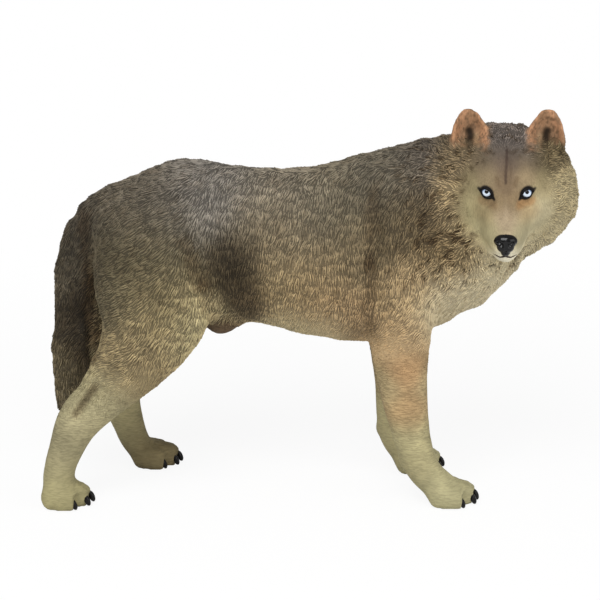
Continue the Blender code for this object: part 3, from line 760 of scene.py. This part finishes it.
def lay_at(p):
    """The way the hair points: down the body, and outwards from the face on the ruff."""
    total, lay = 1e-9, Vector((0.0, 0.0, 0.0))
    for sx, sz, spread, dx, dz in LAY_OF_HAIR:
        weight = math.exp(-((p.x - sx) ** 2 + (p.z - sz) ** 2) / (1.4 * spread * spread))
        lay += weight * Vector((dx, 0.0, dz))
        total += weight
    lay = lay / total
    local = HEAD_BACK @ p
    ruff = 1.0 - ramp((p - RUFF_MIDDLE).length, 15.0, 22.0)
    if ruff > 0.0:
        outwards = Vector((-0.6, local.y / 9.0, (local.z + 1.0) / 12.0 - 0.35)).normalized()
        lay = lay.lerp(HEAD.to_3x3() @ outwards, ruff)
    return lay


def rooted(verts, seed):
    """Roots spread evenly over the coat, shuffled by a kept seed and set off the mesh's rows."""
    shuffler = random.Random(seed)
    hairy = [v for v in verts if v.co.z > 2.0 and coat_at[v.index] > shuffler.uniform(*COAT_EDGE)]
    order = ROOTS_TRIED * hairy
    shuffler.shuffle(order)
    taken, roots = {}, []
    for v in order:
        side = v.normal.orthogonal().normalized()
        beside = v.normal.cross(side)
        p = v.co + ROOT_OFFSET * (shuffler.uniform(-1, 1) * side + shuffler.uniform(-1, 1) * beside)
        cell = [int(c // LOCK_SPACING) for c in p]
        near = (
            q
            for dx in (-1, 0, 1)
            for dy in (-1, 0, 1)
            for dz in (-1, 0, 1)
            for q in taken.get((cell[0] + dx, cell[1] + dy, cell[2] + dz), ())
        )
        if all((p - q).length_squared > LOCK_SPACING * LOCK_SPACING for q in near):
            taken.setdefault(tuple(cell), []).append(p)
            roots.append((p, v.normal.copy(), v.index))
    return roots


hide_bm.verts.index_update()
roots = rooted(hide_bm.verts, 7)
coat_tree = BVHTree.FromBMesh(hide_bm)
hand = random.Random(11)


def strand(bm, layer, root, normal, along, width, length, coat, colour):
    """One lock: a flattened cone sunk in the hide at its root, that follows the hide to its tip."""
    tip, tip_normal = coat_tree.find_nearest(root + along * TIP_ALONG * length)[:2]
    tip = tip + tip_normal * width * hand.uniform(0.10, 0.30)
    foot = root - along * FOOT_BEHIND * length - normal * FOOT_DEPTH * width
    axis = tip - foot
    across = normal.cross(axis).normalized()
    rise = axis.cross(across).normalized()
    height = width * hand.uniform(0.7, 0.95)
    turn = Matrix((across * width, rise * height, axis)).transposed().to_4x4()
    middle = (foot + tip) / 2.0
    made = bmesh.ops.create_cone(
        bm,
        cap_ends=True,
        segments=3,
        radius1=0.5,
        radius2=0.24,
        depth=1.0,
        matrix=Matrix.Translation(middle) @ turn,
    )
    pale = min(1.0, max(colour) / PALE_FROM)
    ridge_light = 1.05 + (RIDGE_LIGHT + (PALE_RIDGE - RIDGE_LIGHT) * pale - 1.05) * coat
    side_shade = 0.95 + (SIDE_SHADE + (PALE_SIDE - SIDE_SHADE) * pale - 0.95) * coat
    # Each lock's back is painted lighter and its sides darker: dry-brushing with painted highlight
    # and painted shade.
    for v in made["verts"]:
        light = ridge_light if (v.co - middle).dot(rise) > 0.08 * height else side_shade
        light = min(light, BRIGHTEST / max(colour))
        v[layer] = (*[c * light for c in colour], 0.0)


def combed(name, roots):
    """A piece of the coat from its roots, laid in small batches and joined."""
    whole = bmesh.new()
    whole.verts.layers.float_color.new("paint")
    for start in range(0, len(roots), LOCKS_IN_A_BATCH):
        batch = bmesh.new()
        layer = batch.verts.layers.float_color.new("paint")
        for p, normal, vertex in roots[start : start + LOCKS_IN_A_BATCH]:
            mane = mane_part(p)
            coat = coat_at[vertex]
            curl = (0.35 + 0.65 * mane) * noise.noise(p / 4.5)
            curl += (0.3 + 0.8 * mane) * noise.noise(p / 1.9)
            lay = lay_at(p)
            flat = lay - normal * lay.dot(normal)
            if flat.length < 0.05:
                flat = normal.orthogonal()
            curl += hand.uniform(-0.14, 0.14)
            along = (Matrix.Rotation(curl, 3, normal) @ flat).normalized()
            size = (0.4 + 0.6 * coat) * hand.uniform(*LOCK_SIZES)
            tone = hand.uniform(*LOCK_TONES)
            colour = [c * tone for c in painted[vertex]]
            width, length = LOCK_WIDTH * size, LOCK_LENGTH * size * (1.0 - 0.3 * mane)
            strand(batch, layer, p, normal, along, width, length, coat, colour)
        part = bpy.data.meshes.new("batch")
        batch.to_mesh(part)
        batch.free()
        whole.from_mesh(part)
        bpy.data.meshes.remove(part)
    return dressed(name, whole, coat_paint)


COAT_PARTS = {
    "tail_and_rump_locks": (-99.0, -36.0),
    "haunch_locks": (-36.0, -14.0),
    "trunk_locks": (-14.0, 12.0),
    "shoulder_locks": (12.0, 29.0),
    "mane_locks": (29.0, 99.0),
}
for name, (rear, front) in COAT_PARTS.items():
    combed(name, [r for r in roots if rear <= r[0].x < front])

# The eyes: glossy balls with a hand-painted pale blue iris, set in the sockets of the hide.
# The lids are black lines in relief, drawn out at the corners, and the pupil stands high,
# half under the upper lid.
EYE_ACROSS = 1.02
EYE_HIGH = 1.00
EYE_BULGE = 0.80
PUPIL_SHARE = 0.40
IRIS_LIGHT = (204, 216, 230)
IRIS_EDGE_AND_LID_SHADE = (92, 110, 138)
PUPIL = (8, 8, 10)
BRUSH_MARKS = 1400.0
BRUSH_DEPTH = 0.00004
UNEVEN_GLOSS = (0.7, 1.3)
UNEVEN_COAT = (0.5, 1.5)


def varnish(name, colour, roughness, coat):
    """Varnished paint, brushed a little unevenly; no colour reads the piece's own paint."""
    paint = bpy.data.materials.new(name)
    paint.use_nodes = True
    tree = paint.node_tree
    inputs = tree.nodes["Principled BSDF"].inputs
    inputs["Coat Weight"].default_value = coat
    inputs["Coat Roughness"].default_value = 0.06
    inputs["Specular IOR Level"].default_value = 0.12
    place = tree.nodes.new("ShaderNodeTexCoord")
    brush = tree.nodes.new("ShaderNodeTexNoise")
    brush.inputs["Scale"].default_value = BRUSH_MARKS
    brush.inputs["Detail"].default_value = 3.0
    tree.links.new(place.outputs["Object"], brush.inputs["Vector"])
    duller = tree.nodes.new("ShaderNodeMapRange")
    duller.inputs["To Min"].default_value = UNEVEN_GLOSS[0] * roughness
    duller.inputs["To Max"].default_value = UNEVEN_GLOSS[1] * roughness
    tree.links.new(brush.outputs["Fac"], duller.inputs["Value"])
    tree.links.new(duller.outputs["Result"], inputs["Roughness"])
    uneven = tree.nodes.new("ShaderNodeBump")
    uneven.inputs["Strength"].default_value = 0.2
    uneven.inputs["Distance"].default_value = BRUSH_DEPTH
    tree.links.new(brush.outputs["Fac"], uneven.inputs["Height"])
    tree.links.new(uneven.outputs["Normal"], inputs["Normal"])
    if colour:
        thinner = tree.nodes.new("ShaderNodeMapRange")
        thinner.inputs["To Min"].default_value = UNEVEN_COAT[0]
        thinner.inputs["To Max"].default_value = UNEVEN_COAT[1]
        tree.links.new(brush.outputs["Fac"], thinner.inputs["Value"])
        coated = tree.nodes.new("ShaderNodeVectorMath")
        coated.operation = "SCALE"
        coated.inputs[0].default_value = linear(colour)
        tree.links.new(thinner.outputs["Result"], coated.inputs["Scale"])
        tree.links.new(coated.outputs[0], inputs["Base Color"])
    else:
        own = tree.nodes.new("ShaderNodeAttribute")
        own.attribute_name = "paint"
        tree.links.new(own.outputs["Color"], inputs["Base Color"])
    return paint


def iris_colour(across, up):
    """Pale below, deeper at the edge and darker above with painted shadow of the upper lid, with a
    black pupil.
    """
    out = math.hypot(across, up)
    centre = math.hypot(across, up - 0.24)
    # Deeper blue towards the edge, and painted shadow of the upper lid across the top.
    colour = mixed(IRIS_LIGHT, IRIS_EDGE_AND_LID_SHADE, 0.55 * ramp(up, -0.1, 0.7) + 0.5 * ramp(out, 0.62, 0.88))
    colour = mixed(colour, PUPIL, ramp(out, 0.86, 0.97))
    return mixed(colour, PUPIL, 1.0 - ramp(centre, PUPIL_SHARE - 0.05, PUPIL_SHARE + 0.04))


def tube(name, lines):
    """Tapered round lines laid on the skin, each a list of places with a radius."""
    curve = bpy.data.curves.new(name, "CURVE")
    curve.dimensions = "3D"
    curve.bevel_depth = 1.0
    curve.bevel_resolution = 3
    curve.use_fill_caps = True
    for line in lines:
        run = curve.splines.new("NURBS")
        run.points.add(len(line) - 1)
        run.order_u = 3
        run.use_endpoint_u = True
        for point, (p, radius) in zip(run.points, line):
            point.co = (*p, 1.0)
            point.radius = radius
    holder = bpy.data.objects.new(name, curve)
    bpy.context.scene.collection.objects.link(holder)
    graph = bpy.context.evaluated_depsgraph_get()
    bm = bmesh.new()
    bm.from_mesh(bpy.data.meshes.new_from_object(holder.evaluated_get(graph), depsgraph=graph))
    bpy.data.objects.remove(holder)
    bmesh.ops.remove_doubles(bm, verts=bm.verts, dist=0.0005)
    bmesh.ops.recalc_face_normals(bm, faces=bm.faces)
    return bm


head_turn = HEAD.to_3x3().to_4x4()
eyes_bm = bmesh.new()
iris_layer = eyes_bm.verts.layers.float_color.new("paint")
lids = []
for side in (-1, 1):
    front = skin.on_face(EYE_PLACES[side], EYE_LEVEL) - head_turn.to_3x3() @ Vector((0.42, 0.0, 0.0))
    look = Matrix.Rotation(side * math.radians(7.0), 4, "Z")
    place = Matrix.Translation(front) @ head_turn @ look
    ball = bmesh.ops.create_uvsphere(
        eyes_bm,
        u_segments=56,
        v_segments=48,
        radius=1.0,
        matrix=place
        @ Matrix.Diagonal((EYE_BULGE, EYE_ACROSS, EYE_HIGH, 1.0))
        @ Matrix.Rotation(math.radians(90.0), 4, "Y"),
    )["verts"]
    back = (place @ Matrix.Diagonal((EYE_BULGE, EYE_ACROSS, EYE_HIGH, 1.0))).inverted()
    for v in ball:
        local = back @ v.co
        colour = iris_colour(local.y, local.z) if local.x > 0.0 else PUPIL
        v[iris_layer] = (*linear(colour), 1.0)
    for shape in (
        ((-1.42, -1.10, 0.08), (-1.10, -0.35, 0.26), (-0.50, 0.68, 0.38), (0.45, 0.88, 0.38),
         (1.10, 0.46, 0.30), (1.60, 0.34, 0.07)),
        ((-1.38, -1.08, 0.08), (-0.92, -0.86, 0.22), (-0.2, -1.10, 0.24), (0.62, -0.86, 0.24),
         (1.12, 0.0, 0.22), (1.50, 0.30, 0.07)),
    ):
        line = []
        for across, up, radius in shape:
            p = place @ Vector((0.0, side * across, up))
            out = back @ p
            hidden = max(0.0, 1.0 - out.y**2 - out.z**2)
            ahead = EYE_BULGE * math.sqrt(hidden)
            local = HEAD_BACK @ p
            on_skin = HEAD_BACK @ skin.on_face(local.y, local.z)
            depth = max(on_skin.x, local.x + ahead) + 0.05
            line.append((in_head(depth, local.y, local.z), radius))
        lids.append(line)
dressed("eyeballs", eyes_bm, varnish("painted_iris", None, 0.2, 0.5))
dressed("eyelids", tube("eyelids", lids), varnish("lid_black", (12, 10, 9), 0.6, 0.0))

# The nose and the mouth: a black varnished pad with two nostrils at the end of the muzzle,
# and a dark line brushed in the groove between the lips.
NOSE_MASSES = (  # forward, up, then the radii forward, across and up
    (18.75, -7.95, 1.50, 2.35, 1.45),
    (18.60, -9.10, 1.45, 1.75, 1.30),
    (18.30, -10.1, 1.25, 1.00, 1.05),
)
NOSE_VOXEL = 0.12
nose_bm = bmesh.new()
for forward, up, *radii in NOSE_MASSES:
    bmesh.ops.create_uvsphere(
        nose_bm,
        u_segments=32,
        v_segments=20,
        radius=1.0,
        matrix=Matrix.Translation(in_head(forward, 0.0, up))
        @ head_turn
        @ Matrix.Diagonal((*radii, 1.0)),
    )
nose_mesh = bpy.data.meshes.new("nose_clay")
nose_bm.to_mesh(nose_mesh)
nose_bm.free()


def fuse_finely(holder):
    fine = holder.modifiers.new("fine", "REMESH")
    fine.mode = "VOXEL"
    fine.voxel_size = NOSE_VOXEL


nose_bm = bmesh.new()
nose_bm.from_mesh(evaluated(nose_mesh, fuse_finely))
smooth(nose_bm, 5, nose_bm.verts[:])
nose_skin = Skin(nose_bm)
for side in (-1, 1):
    inner, outer = nose_skin.on_face(side * 0.85, -8.5), nose_skin.on_face(side * 1.45, -8.2)
    nose_skin.press([inner, outer], 0.62, 0.60, fade=False)
    nose_skin.press([outer, in_head(18.6, side * 2.4, -8.7)], 0.42, 0.4)
split = [nose_skin.on_face(0.0, u) for u in (-8.0, -9.2, -10.2)]
nose_skin.press(split, 0.34, 0.26, fade=False)
smooth(nose_bm, 1, nose_bm.verts[:])
skin.press([in_head(19.0, 0.0, -8.0), in_head(18.6, 0.0, -9.8)], 2.3, 0.8, fade=False)
dressed("nose_pad", nose_bm, varnish("nose_black", (10, 9, 9), 0.16, 0.30))

lips = [[(skin.on_face(0.0, -10.2), 0.17), (skin.on_face(0.0, -11.15), 0.15)]]
for side in (-1, 1):
    lips.append([
        (skin.on_face(0.0, -11.05), 0.17),
        (skin.on_face(side * 0.7, -11.45), 0.17),
        (skin.on_face(side * 1.5, -11.45), 0.16),
        (skin.tree.find_nearest(in_head(16.8, side * 2.3, -11.6))[0], 0.12),
        (skin.tree.find_nearest(in_head(15.4, side * 3.0, -11.8))[0], 0.04),
    ])
dressed("mouth_line", tube("mouth_line", lips), varnish("lip_line", (52, 40, 33), 0.6, 0.0))

# The claws: four on each paw, short, blunt and steep, dipped in black. Each stands on the
# front of its toe, and its point is just above the ground.
PAWS = (
    Vector((36.0, -11.6, 0.0)),
    Vector((30.2, 8.0, 0.0)),
    Vector((-44.0, -12.6, 0.0)),
    Vector((-27.0, 11.4, 0.0)),
)
TOES = ((-3.56, 2.4, 0.8), (-1.21, 0.0, 0.7), (1.21, 0.0, 0.0), (3.56, 2.4, 0.3))
TOE_FRONT = -1.35
CLAW_SETBACK = 1.05
CLAW_HEIGHT = 1.42
CLAW_RADII = (0.64, 0.60, 1.28)
CLAW_LEAN = math.radians(-22.0)
GROUND_GAP = 0.12
claws_bm = bmesh.new()
for toes in PAWS:
    for place, setback, claw_back in TOES:
        tip = toes + Vector((-setback, place, 0.0))
        skin.press([tip + Vector((-2.2, 0.0, 4.2)), tip + Vector((-3.2, 0.0, 4.6))], 2.4, -0.2)
        for _, i, _ in skin.points.find_range(tip + Vector((0.0, 0.0, 1.2)), 2.5):
            v = hide_bm.verts[i]
            ahead = v.co.x - tip.x - TOE_FRONT + claw_back
            if ahead > 0.0:
                v.co.x -= 0.8 * ahead
        claw = bmesh.ops.create_uvsphere(
            claws_bm,
            u_segments=16,
            v_segments=12,
            radius=1.0,
            matrix=Matrix.Translation(tip + Vector((-CLAW_SETBACK - claw_back, 0.0, CLAW_HEIGHT)))
            @ Matrix.Rotation(CLAW_LEAN, 4, "Y")
            @ Matrix.Diagonal((*CLAW_RADII, 1.0)),
        )["verts"]
        for v in claw:
            v.co.z = max(GROUND_GAP, v.co.z)
smooth(hide_bm, PAW_STROKES, [v for v in hide_bm.verts if 0.4 < v.co.z < 8.0])
dressed("claws", claws_bm, varnish("claw_black", (14, 12, 11), 0.30, 0.15))

# The hide is finished last, because the other pieces were placed on its surface.
hide = dressed("wolf_hide", hide_bm, coat_paint)
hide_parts("wolf_figure")
